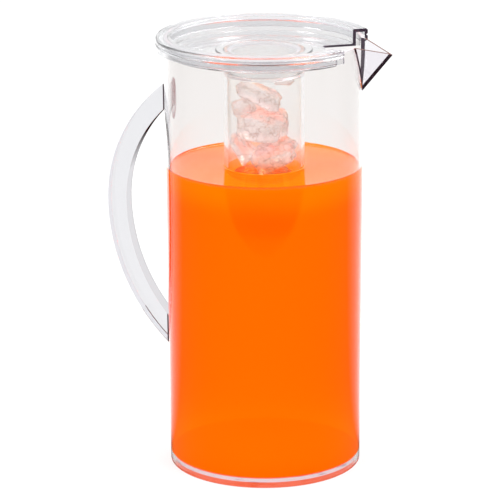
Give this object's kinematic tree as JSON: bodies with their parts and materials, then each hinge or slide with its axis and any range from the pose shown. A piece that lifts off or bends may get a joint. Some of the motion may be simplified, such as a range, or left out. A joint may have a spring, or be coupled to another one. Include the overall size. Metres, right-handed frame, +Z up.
{
  "type": "pitcher with ice core",
  "caption": "Clear lidded pitcher with a wedge spout, an arched bar handle and a closed tube for ice that screws up into the lid.",
  "frame": {"origin": "centre of the face that the pitcher stands on, on the axis of the jug", "axes": "+Z up along the jug's axis, +X towards the spout, -X towards the handle"},
  "size_m": [0.1605, 0.1188, 0.243],
  "materials": {
    "jug_plastic": "water-clear polished acrylic",
    "sheet_plastic": "water-clear acrylic sheet with bright edges",
    "bar_plastic": "water-clear thick acrylic",
    "lid_plastic": "clear moulded acrylic",
    "core_plastic": "clear moulded acrylic",
    "clear_silicone": "translucent silicone"
  },
  "bodies": {
    "jug": {"body_wall": "jug_plastic", "base_disc": "jug_plastic", "spout_plate_left": "sheet_plastic", "spout_plate_right": "sheet_plastic", "handle": "bar_plastic"},
    "lid": {"lid": "lid_plastic"},
    "seal": {"tube_seal": "clear_silicone"},
    "core": {"ice_tube": "core_plastic"}
  },
  "joints": [
    {"name": "lid_lift", "type": "slide", "parent": "jug", "child": "lid", "axis": [0, 0, 1], "range_m": [0, 0.14]},
    {"name": "seal_drop", "type": "slide", "parent": "lid", "child": "seal", "axis": [0, 0, -1], "range_m": [0, 0.0102]},
    {"name": "core_unscrew", "type": "hinge", "parent": "seal", "child": "core", "pos_m": [0, 0, 0.2285], "axis": [0, 0, -1], "range_deg": [0, 900]}
  ],
  "couplings": [
    {"joint": "seal_drop", "follows": "core_unscrew", "m_per_rad": 0.00063662}
  ]
}
